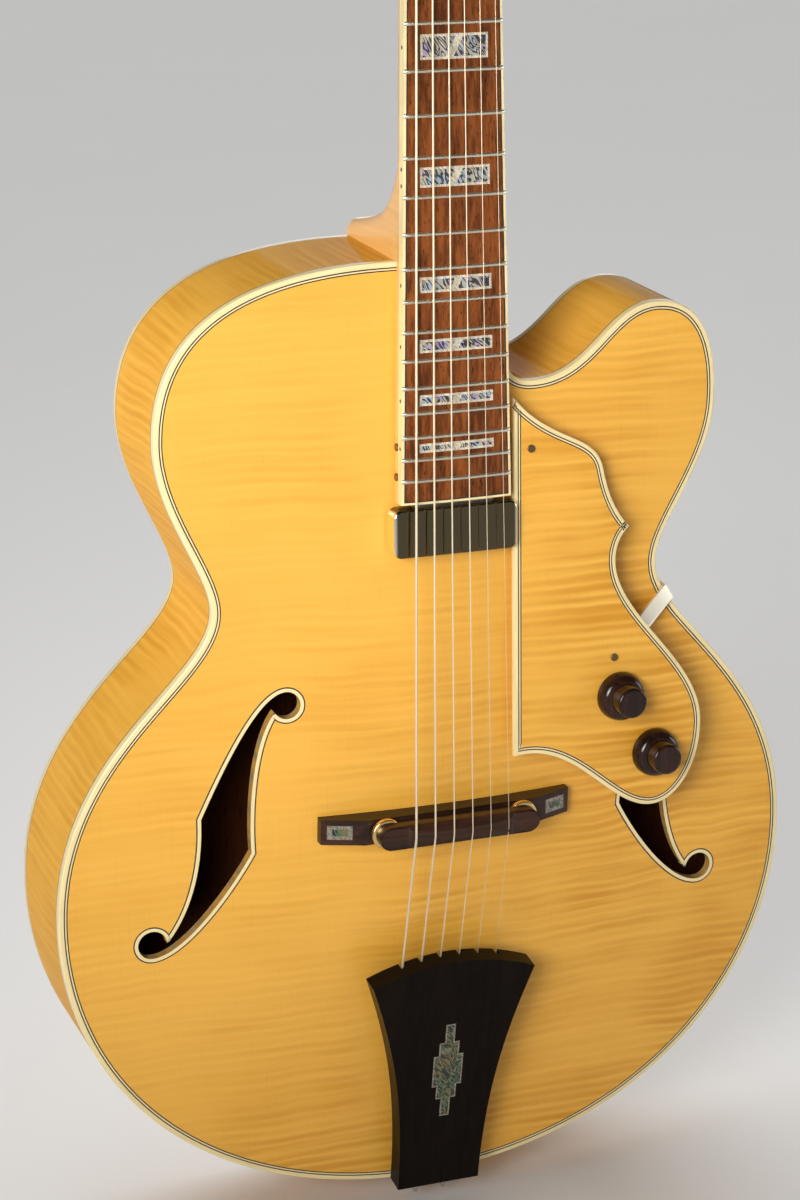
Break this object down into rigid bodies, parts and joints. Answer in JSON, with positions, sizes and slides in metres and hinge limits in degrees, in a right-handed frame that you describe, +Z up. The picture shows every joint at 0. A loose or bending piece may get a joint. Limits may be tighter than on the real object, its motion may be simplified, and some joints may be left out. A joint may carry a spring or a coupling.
{
  "type": "archtop guitar",
  "caption": "Hollow-body archtop guitar with a rounded cutaway, f-holes, floating pickup on the neck extension, bound flame-maple top and pickguard, and a wooden tailpiece.",
  "frame": {"origin": "on the axis of the end-pin output jack, where it leaves the outside of the rim at the tail", "axes": "+Z up the neck along the middle of the body, -Y out of the top towards the listener, +X to the treble side"},
  "size_m": [0.4036, 0.1344, 1.0339],
  "materials": {
    "flame_maple": "clear gloss over honey stain",
    "ivory": "polished cream",
    "black_line": "black and cream lines",
    "plain_wood": "bare",
    "rosewood": "oiled, red-brown",
    "ebony": "polished black",
    "pearl": "pearly",
    "abalone": "green and gold shell",
    "bone": "smooth",
    "fret_wire": "polished",
    "gold": "bright gold",
    "bright_cover": "mirror",
    "string_metal": "wound and plain wire",
    "steel": "plain",
    "coil_black": "plain"
  },
  "bodies": {
    "guitar": {"top_plate": "flame_maple", "back_plate": "flame_maple", "rim_bass": "flame_maple", "rim_treble": "flame_maple", "neck": "flame_maple", "pickguard": "flame_maple", "top_binding": "ivory", "back_binding": "ivory", "f_hole_bindings": "ivory", "fingerboard_binding": "ivory", "pickguard_binding": "ivory", "top_purfling": "black_line", "side_dots": "black_line", "neck_block": "plain_wood", "tail_block": "plain_wood", "linings": "plain_wood", "tone_bars": "plain_wood", "guard_block": "plain_wood", "fingerboard": "rosewood", "headstock_veneer": "ebony", "bridge_base": "ebony", "tailpiece": "ebony", "tail_saddle": "ebony", "truss_rod_cover": "ebony", "position_inlays": "pearl", "bridge_inlays": "pearl", "inlay_panels": "abalone", "tailpiece_inlay": "abalone", "nut": "bone", "frets": "fret_wire", "tuner_housings": "gold", "tuner_bushings": "gold", "bridge_studs": "gold", "output_jack": "gold", "pickguard_bracket": "gold", "pickup_cover": "bright_cover", "strings": "string_metal", "tail_cable": "string_metal", "truss_rod": "steel", "small_screws": "steel", "pickup_mounting": "steel", "control_pots": "steel", "pickup_coils": "coil_black"},
    "bridge_saddle": {"bridge_saddle": "ebony"},
    "bridge_wheel_bass": {"bridge_wheel_bass": "gold"},
    "bridge_wheel_treble": {"bridge_wheel_treble": "gold"},
    "volume_knob": {"volume_knob": "rosewood"},
    "tone_knob": {"tone_knob": "rosewood"},
    "tuner_post_1": {"tuner_post_1": "gold"},
    "tuner_button_1": {"tuner_button_1": "ebony"},
    "tuner_post_2": {"tuner_post_2": "gold"},
    "tuner_button_2": {"tuner_button_2": "ebony"},
    "tuner_post_3": {"tuner_post_3": "gold"},
    "tuner_button_3": {"tuner_button_3": "ebony"},
    "tuner_post_4": {"tuner_post_4": "gold"},
    "tuner_button_4": {"tuner_button_4": "ebony"},
    "tuner_post_5": {"tuner_post_5": "gold"},
    "tuner_button_5": {"tuner_button_5": "ebony"},
    "tuner_post_6": {"tuner_post_6": "gold"},
    "tuner_button_6": {"tuner_button_6": "ebony"}
  },
  "joints": [
    {"name": "volume_turn", "type": "hinge", "parent": "guitar", "child": "volume_knob", "pos_m": [0.0921, -0.05627, 0.27116], "axis": [0, -0.9971, 0.0764], "range_deg": [-140, 140]},
    {"name": "tone_turn", "type": "hinge", "parent": "guitar", "child": "tone_knob", "pos_m": [0.1122, -0.05876, 0.23866], "axis": [0, -0.9971, 0.0764], "range_deg": [-140, 140]},
    {"name": "button_turn_1", "type": "hinge", "parent": "guitar", "child": "tuner_button_1", "pos_m": [-0.0215, 0.01957, 0.88882], "axis": [-1, 0, 0], "range_deg": [-720, 720]},
    {"name": "post_turn_1", "type": "hinge", "parent": "guitar", "child": "tuner_post_1", "pos_m": [-0.0215, 0.00166, 0.9031], "axis": [0, -0.949, 0.3153], "range_deg": [-45, 45]},
    {"name": "button_turn_2", "type": "hinge", "parent": "guitar", "child": "tuner_button_2", "pos_m": [-0.0215, 0.03219, 0.92678], "axis": [-1, 0, 0], "range_deg": [-720, 720]},
    {"name": "post_turn_2", "type": "hinge", "parent": "guitar", "child": "tuner_post_2", "pos_m": [-0.0215, 0.01427, 0.94105], "axis": [0, -0.949, 0.3153], "range_deg": [-45, 45]},
    {"name": "button_turn_3", "type": "hinge", "parent": "guitar", "child": "tuner_button_3", "pos_m": [-0.0215, 0.0448, 0.96474], "axis": [-1, 0, 0], "range_deg": [-720, 720]},
    {"name": "post_turn_3", "type": "hinge", "parent": "guitar", "child": "tuner_post_3", "pos_m": [-0.0215, 0.02689, 0.97901], "axis": [0, -0.949, 0.3153], "range_deg": [-45, 45]},
    {"name": "button_turn_4", "type": "hinge", "parent": "guitar", "child": "tuner_button_4", "pos_m": [0.0215, 0.0448, 0.96474], "axis": [1, 0, 0], "range_deg": [-720, 720]},
    {"name": "post_turn_4", "type": "hinge", "parent": "guitar", "child": "tuner_post_4", "pos_m": [0.0215, 0.02689, 0.97901], "axis": [0, -0.949, 0.3153], "range_deg": [-45, 45]},
    {"name": "button_turn_5", "type": "hinge", "parent": "guitar", "child": "tuner_button_5", "pos_m": [0.0215, 0.03219, 0.92678], "axis": [1, 0, 0], "range_deg": [-720, 720]},
    {"name": "post_turn_5", "type": "hinge", "parent": "guitar", "child": "tuner_post_5", "pos_m": [0.0215, 0.01427, 0.94105], "axis": [0, -0.949, 0.3153], "range_deg": [-45, 45]},
    {"name": "button_turn_6", "type": "hinge", "parent": "guitar", "child": "tuner_button_6", "pos_m": [0.0215, 0.01957, 0.88882], "axis": [1, 0, 0], "range_deg": [-720, 720]},
    {"name": "post_turn_6", "type": "hinge", "parent": "guitar", "child": "tuner_post_6", "pos_m": [0.0215, 0.00166, 0.9031], "axis": [0, -0.949, 0.3153], "range_deg": [-45, 45]},
    {"name": "saddle_lift", "type": "slide", "parent": "guitar", "child": "bridge_saddle", "axis": [0, -1, 0], "range_m": [-0.00175, 0.00385], "deforming": ["strings"]},
    {"name": "bass_wheel_turn", "type": "hinge", "parent": "bridge_saddle", "child": "bridge_wheel_bass", "pos_m": [-0.0374, -0.06081, 0.21362], "axis": [0, -1, 0], "range_deg": [-900, 1980]},
    {"name": "treble_wheel_turn", "type": "hinge", "parent": "bridge_saddle", "child": "bridge_wheel_treble", "pos_m": [0.0374, -0.06081, 0.21362], "axis": [0, -1, 0], "range_deg": [-900, 1980]}
  ],
  "couplings": [
    {"joint": "post_turn_1", "follows": "button_turn_1", "ratio": -0.0625},
    {"joint": "post_turn_2", "follows": "button_turn_2", "ratio": -0.0625},
    {"joint": "post_turn_3", "follows": "button_turn_3", "ratio": -0.0625},
    {"joint": "post_turn_4", "follows": "button_turn_4", "ratio": 0.0625},
    {"joint": "post_turn_5", "follows": "button_turn_5", "ratio": 0.0625},
    {"joint": "post_turn_6", "follows": "button_turn_6", "ratio": 0.0625},
    {"joint": "bass_wheel_turn", "follows": "saddle_lift", "rad_per_m": 8976},
    {"joint": "treble_wheel_turn", "follows": "saddle_lift", "rad_per_m": 8976}
  ]
}
